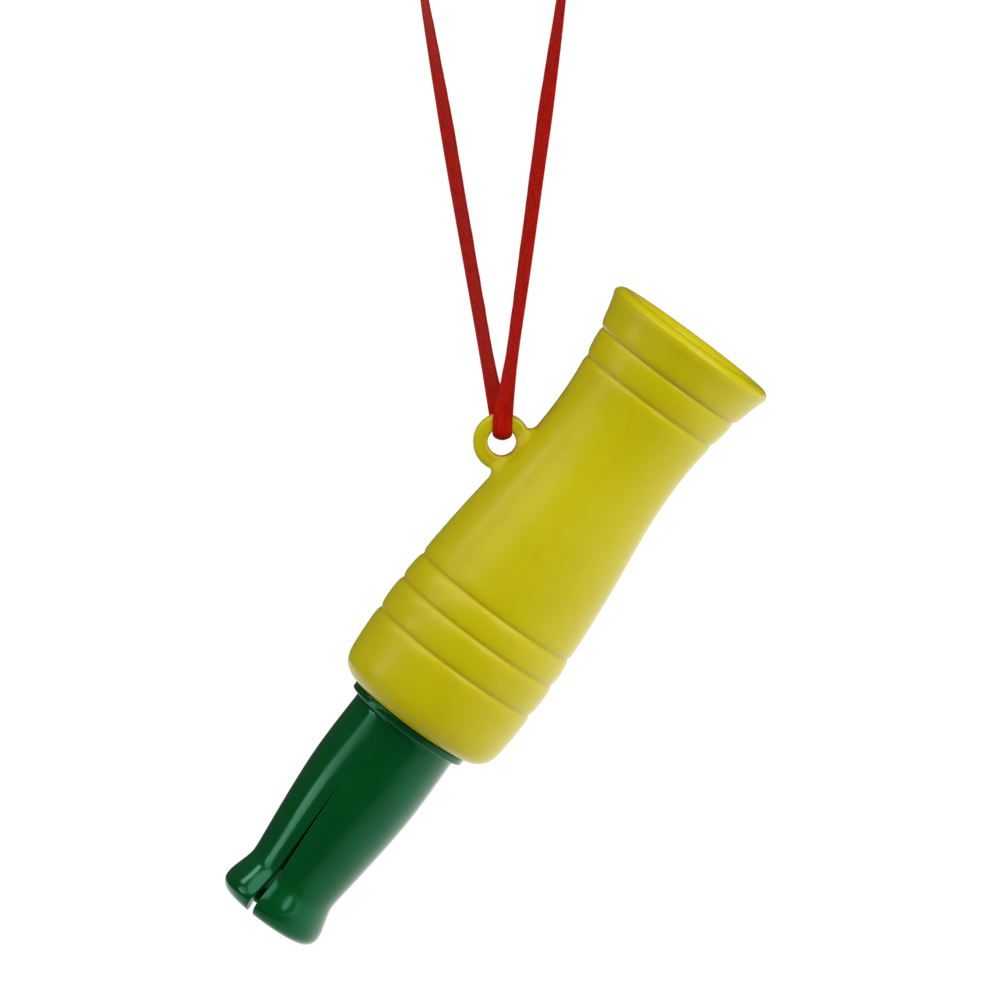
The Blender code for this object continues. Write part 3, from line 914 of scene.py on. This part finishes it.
def build_board(material):
    """A half-round board whose bed falls away under the reed, with an air channel down its middle."""
    half_round = half_disc(BOARD_RADIUS, 0.0, BOARD_RADIUS)
    board = prism("tone_board_body", half_round, BOARD_ROOT, BOARD_TIP, WHISTLE)
    fall = math.tan(BED_FALL)
    slope = [(fall * (s - REED_PIVOT), s) for s in BED_STATIONS]
    bed = [(-1.0, REED_PIVOT), (0.0, REED_PIVOT), *slope, (-1.0, BED_STATIONS[-1])]
    cut_out(board, "bed", bed, 10.0)
    below_root = BOARD_ROOT - 2.0
    rise = [(CHANNEL_DEPTH - up, CHANNEL_END + further) for up, further in CHANNEL_RISE]
    channel = [(-3.0, below_root), (CHANNEL_DEPTH, below_root), *rise, (-3.0, CHANNEL_END - 1.8)]
    cut_out(board, "channel", channel, CHANNEL_WIDTH / 2)
    round_edges(board, BOARD_EDGE * MM)
    add_material(board, material)
    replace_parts(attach(board, "insert"), "tone_board")


def add_material(obj, material):
    obj.data.materials.clear()
    obj.data.materials.append(material)
    obj.data.shade_smooth()
    obj.data.set_sharp_from_angle(angle=math.radians(50))


def build_reed(material):
    """One thin flat strip from under the wedge to a round tip."""
    half = REED_WIDTH / 2
    straight = np.linspace(REED_ROOT, REED_TIP - half, REED_ROWS)
    tip = REED_TIP - half + half * np.sin(np.radians(np.linspace(6, 90, REED_TIP_ROWS)))
    stations = np.concatenate([straight, tip])
    points = []
    for s in stations:
        over = max(0.0, s - (REED_TIP - half))
        wide = math.sqrt(max(half**2 - over**2, 0.02))
        round_off = [(wide - REED_EDGE, -1), (wide, -0.3), (wide, 0.3), (wide - REED_EDGE, 1)]
        section = round_off + [(0.0, 1)] + [(-x, t) for x, t in round_off[::-1]] + [(0.0, -1)]
        points += [(x, REED_MIDDLE + t * REED_THICKNESS / 2, s) for x, t in section]
    count = len(points) // len(stations)
    faces = grid_faces(len(stations), count, closed_rows=False)
    faces += [tuple(range(count)), tuple(range(len(points) - count, len(points)))]
    reed = add_object("reed_strip", mesh_from("reed_strip", points, faces, WHISTLE), material)
    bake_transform(reed)
    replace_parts(reed, "reed_root", "reed_tongue")


def build_wedge(material):
    outline = half_disc(BOARD_RADIUS, -BOARD_RADIUS, WEDGE_FACE)
    wedge = prism("wedge_cork_block", outline, WEDGE_BOTTOM, WEDGE_TOP, WHISTLE)
    round_edges(wedge, WEDGE_EDGE * MM)
    add_material(wedge, material)
    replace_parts(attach(wedge, "insert"), "wedge")


# ---- Lanyard ----


def on_loop(angle):
    """A point on the loop; an angle of 0 is its right side and a quarter turn its top."""
    return LOOP_CENTRE + LOOP_RADIUS * Vector((math.cos(angle), 0.0, math.sin(angle)))


def ribbon_route():
    """Points along the ribbon, with its turn about its own line: 90 on the loop's top, 0 in the eye."""
    start = KNOT_ANGLE + KNOT_CLEAR
    over = [(*on_loop(start + (LEFT_SHOULDER - start) * k / 9), 90) for k in range(10)]
    behind = [
        (-14.3, 0.0, 82.5, 64), (-10.9, 0.1, 63.0, 45), (-8.7, 0.4, 50.0, 42), (-5.55, 1.0, 32.0, 43),
        (-2.95, 1.8, 17.0, 43), (-1.35, 2.3, 8.6, 30), (-0.6, 2.35, 5.0, 15),
        (-0.1, 2.25, 2.6, 4), (0.1, 1.95, 1.25, 0),
    ]
    inside = [(0.1, 1.1, 0.62, 0), (0.1, 0.0, 0.5, 0), (0.1, -1.1, 0.62, 0)]
    front = [
        (0.1, -1.95, 1.25, 0), (0.1, -2.2, 2.6, 0), (0.2, -2.2, 5.0, 4), (0.7, -2.25, 8.6, 31),
        (1.9, -1.8, 17.0, 50), (4.0, -1.0, 32.0, 46), (6.45, -0.4, 50.0, 43),
        (8.25, -0.1, 63.0, 42), (10.95, 0.0, 82.5, 62),
    ]
    low = [(EYE.x / MM + x, y, EYE.z / MM + z, turn) for x, y, z, turn in behind + inside + front]
    last = [(*on_loop(RIGHT_SHOULDER), 84), (*on_loop(KNOT_ANGLE - KNOT_CLEAR), 90)]
    return [np.array(p, float) for p in over + low + last]


def ribbon_section(wide, cup, count=10):
    """Points round a flat ribbon's section: (across, out of its face), with thicker, round selvedges."""
    shares = np.linspace(-1.0, 1.0, count + 1)
    rims = [(1.0 + 0.22 * abs(v) ** 6) * math.sqrt(max(1.0 - abs(v) ** 14, 0.0)) for v in shares]
    half = [0.5 * RIBBON_THICKNESS * rim for rim in rims]
    lower = [(v * wide / 2, -cup * v * v - h) for v, h in zip(shares, half)]
    upper = [(v * wide / 2, -cup * v * v + h) for v, h in zip(shares[::-1][1:-1], half[::-1][1:-1])]
    return lower + upper


def ribbon_axes(tangent, turn):
    """Unit directions across the ribbon and out of its face, where it runs along the tangent."""
    across = np.array([-math.cos(turn), math.sin(turn), 0.0])
    across -= tangent * (across @ tangent)
    across /= np.linalg.norm(across)
    return across, np.cross(tangent, across)


def build_ribbon(name, route, material, cups, slanted=0.0):
    """A flat ribbon along (x, y, z, turn) points, with a hollow of cups(share of its length) across it."""
    line = spaced(through(route), RIBBON_STEP)
    along = lengths_along(line[:, :3])
    tangents = np.gradient(line[:, :3], along, axis=0)
    tangents /= np.linalg.norm(tangents, axis=1)[:, None]
    points, threads = [], []
    for n, (row, tangent) in enumerate(zip(line, tangents)):
        across, out = ribbon_axes(tangent, math.radians(row[3]))
        waver = noise.noise(Vector((along[n] * WAVER_RATE, 3.7, 0.2)))
        cup = cups(along[n] / along[-1])
        slant = slanted * (n == 0 or n == len(line) - 1)
        for a, b in ribbon_section(RIBBON_WIDTH * (1 + WAVER_WIDER * waver - 0.02 * cup), cup):
            points.append(row[:3] + across * a + out * (b + WAVER_OUT * waver) + tangent * slant * a)
            threads.append((along[n], a))
    count = len(points) // len(line)
    faces = grid_faces(len(line), count, closed_rows=False)
    faces += [tuple(range(count)), tuple(range(len(points) - count, len(points)))]
    mesh = bpy.data.meshes.new(name)
    mesh.from_pydata([tuple(p) for p in points], [], faces)
    facing_out(mesh)
    weave_map(mesh, threads)
    mesh.transform(ROW)
    ribbon = add_object(name, mesh, material)
    mesh.set_sharp_from_angle(angle=math.radians(60))
    return ribbon, line[:, :3]


def knot_turns(material):
    """The ribbon's turns in the knot: a three-lobed closed loop that crosses itself, drawn tight."""
    angles = np.arange(KNOT_RINGS) * 2 * math.pi / KNOT_RINGS
    right = np.sin(angles) + 2 * np.sin(2 * angles)
    back = np.cos(angles) - 2 * np.cos(2 * angles)
    line = np.stack([right, back, -np.sin(3 * angles)], axis=1) * KNOT_SIZE
    tangents = np.roll(line, -1, axis=0) - np.roll(line, 1, axis=0)
    tangents /= np.linalg.norm(tangents, axis=1)[:, None]
    points, threads = [], []
    for n, (middle, tangent) in enumerate(zip(line, tangents)):
        across = np.cross(tangent, middle / np.linalg.norm(middle))
        across /= np.linalg.norm(across)
        out = np.cross(across, tangent)
        for a in np.arange(KNOT_SIDES) * 2 * math.pi / KNOT_SIDES:
            wide, thick = KNOT_SECTION[0] * math.cos(a), KNOT_SECTION[1] * math.sin(a)
            points.append(middle + across * wide + out * thick)
            threads.append((n * KNOT_STEP, wide))
    mesh = bpy.data.meshes.new("knot_turns")
    mesh.from_pydata([tuple(p) for p in points], [], grid_faces(KNOT_RINGS, KNOT_SIDES))
    weave_map(mesh, threads)
    turn = Matrix.Rotation(-KNOT_ANGLE, 4, "Y") @ Matrix.Rotation(KNOT_TILT, 4, "X")
    mesh.transform(Matrix.Translation(on_loop(KNOT_ANGLE) * MM) @ turn @ ROW)
    return add_object("knot_turns", mesh, material)


def knot_tail(name, side, material):
    """A cut end of the ribbon, out of the knot to the front (-1) or the back (1)."""
    middle = on_loop(KNOT_ANGLE)
    route = [(*(middle + Vector((x, side * y, z))), turn) for x, y, z, turn in KNOT_TAIL]
    return build_ribbon(name, route, material, lambda share: TAIL_CUP, slanted=TAIL_SLANT)[0]


def build_knot(material):
    knot = knot_turns(material)
    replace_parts(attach(knot, "lanyard"), "lanyard_knot")
    tails = [knot_tail("knot_tail_front", -1.0, material), knot_tail("knot_tail_back", 1.0, material)]
    for tail in tails:
        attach(tail, "lanyard")
    return [knot, *tails]


def build_lanyard(material):
    on_knot = build_knot(material)
    route = ribbon_route()
    line = spaced(through(route), RIBBON_STEP)[:, :3]
    to_eye = np.linalg.norm(line - np.array(EYE) / MM, axis=1)
    along = lengths_along(line)
    eye_share = along[np.argmin(to_eye)] / along[-1]

    def cups(share):
        """The hollow across the ribbon, deepest where it squeezes through the eye."""
        return LOOP_CUP + EYE_CUP * math.exp(-(((share - eye_share) / EYE_CUP_REACH) ** 2))

    ribbon, line = build_ribbon("ribbon_band", route, material, cups)
    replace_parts(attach(ribbon, "lanyard"), "lanyard_ribbon")


# ---- Studio ----


def add_camera():
    camera = bpy.data.objects.new("camera", bpy.data.cameras.new("camera"))
    bpy.context.scene.collection.objects.link(camera)
    camera.data.sensor_width = SENSOR_WIDTH
    camera.data.lens = SENSOR_WIDTH * CAMERA_DISTANCE / VIEW_WIDTH
    back = Vector((0.0, -math.cos(LOOK_DOWN), math.sin(LOOK_DOWN)))
    up = Vector((0.0, math.sin(LOOK_DOWN), math.cos(LOOK_DOWN)))
    middle = EYE - Vector((EYE_RIGHT_OF_MIDDLE, 0.0, 0.0)) - up * EYE_ABOVE_MIDDLE
    camera.location = middle + back * CAMERA_DISTANCE
    camera.rotation_euler = (math.pi / 2 - LOOK_DOWN, 0.0, 0.0)
    bpy.context.scene.camera = camera


def add_light(name, place, aim, width, height, power, along=(0.0, 0.0, 1.0)):
    """A soft area light at place, turned to aim, whose height runs along the given direction."""
    light = bpy.data.lights.new(name, "AREA")
    light.shape = "RECTANGLE"
    light.size, light.size_y = width, height
    light.energy = power
    obj = bpy.data.objects.new(name, light)
    bpy.context.scene.collection.objects.link(obj)
    back = (Vector(place) - Vector(aim)).normalized()
    side = Vector(along).cross(back).normalized()
    turn = Matrix((side, back.cross(side), back)).transposed()
    obj.matrix_world = Matrix.Translation(Vector(place)) @ turn.to_4x4()


def add_lights():
    """A key light, a fill from above, and a narrow light that the tip's flare mirrors."""
    middle = WHISTLE @ Vector((0.0, 0.0, 0.0))
    for name, (direction, distance, size, power) in (("key", KEY_LIGHT), ("fill", FILL_LIGHT)):
        add_light(name, middle + Vector(direction) * distance, middle, size, size, power)
    tip = WHISTLE @ Vector((0.0, 0.0, TIP_END))
    place = WHISTLE @ Vector(TIP_LIGHT_PLACE)
    add_light("tip", place, tip, *TIP_LIGHT_SIZE, TIP_LIGHT_POWER, along=WHISTLE_AXIS)


def strip_glow():
    look = Shader("strip_glow")
    look.set(
        Base_Color=(0.02, 0.02, 0.02, 1.0),
        Emission_Color=(1.0, 1.0, 1.0, 1.0),
        Emission_Strength=look.ramp(look.value("share"), 0.0, 1.0, STRIP_GLOW[0], STRIP_GLOW[1]),
    )
    return look.material


def add_strip():
    """A band of light, brighter towards the tip, that the green tube mirrors as a line."""
    line = spaced(STRIP, 20.0)
    tangents = np.gradient(line, axis=0)
    across = np.cross(tangents, line - np.array([0.0, 0.0, TUBE_MIDDLE]))
    across *= STRIP_WIDTH / 2 / np.linalg.norm(across, axis=1)[:, None]
    points = np.concatenate([line - across, line + across])
    faces = grid_faces(2, len(line), closed_rows=False, closed_columns=False)
    mesh = bpy.data.meshes.new("strip")
    mesh.from_pydata([tuple(p) for p in points], [], faces)
    point_values(mesh, "share", np.tile(np.linspace(0.0, 1.0, len(line)), 2))
    mesh.transform(WHISTLE)
    strip = add_object("strip", mesh, strip_glow())
    strip.visible_camera = False


def add_world():
    world = bpy.data.worlds.new("studio")
    bpy.context.scene.world = world
    world.use_nodes = True
    tree = world.node_tree
    shown = tree.nodes.new("ShaderNodeBackground")
    shown.inputs["Color"].default_value = (1.0, 1.0, 1.0, 1.0)
    shown.inputs["Strength"].default_value = BACKDROP_STRENGTH
    lit = tree.nodes["Background"]
    lit.inputs["Color"].default_value = AMBIENT_COLOUR
    lit.inputs["Strength"].default_value = AMBIENT_STRENGTH
    path = tree.nodes.new("ShaderNodeLightPath")
    mix = tree.nodes.new("ShaderNodeMixShader")
    tree.links.new(path.outputs["Is Camera Ray"], mix.inputs[0])
    tree.links.new(lit.outputs[0], mix.inputs[1])
    tree.links.new(shown.outputs[0], mix.inputs[2])
    tree.links.new(mix.outputs[0], tree.nodes["World Output"].inputs["Surface"])


def add_floor():
    """A floor that only lights the whistle and is mirrored in it; it ends dim on the camera's side."""
    sideways = np.linspace(-FLOOR_REACH, FLOOR_REACH, 9)
    backwards = np.linspace(DIM_FLOOR[1] - DIM_RADIUS, FLOOR_REACH, 9)
    points = [(x, y, FLOOR_HEIGHT) for y in backwards for x in sideways]
    faces = grid_faces(len(backwards), len(sideways), closed_rows=False, closed_columns=False)
    mesh = bpy.data.meshes.new("floor")
    mesh.from_pydata(points, [], faces)
    floor = add_object("floor", mesh, pale_floor())
    floor.visible_camera = False


def main():
    bpy.context.scene.view_settings.view_transform = "Standard"
    add_camera()
    build_lanyard(red_satin())
    build_barrel(yellow_plastic())
    build_insert(green_plastic())
    build_seal(seal_rubber())
    build_board(board_plastic())
    build_reed(reed_film())
    build_wedge(wedge_cork())
    add_floor()
    add_lights()
    add_strip()
    add_world()


main()
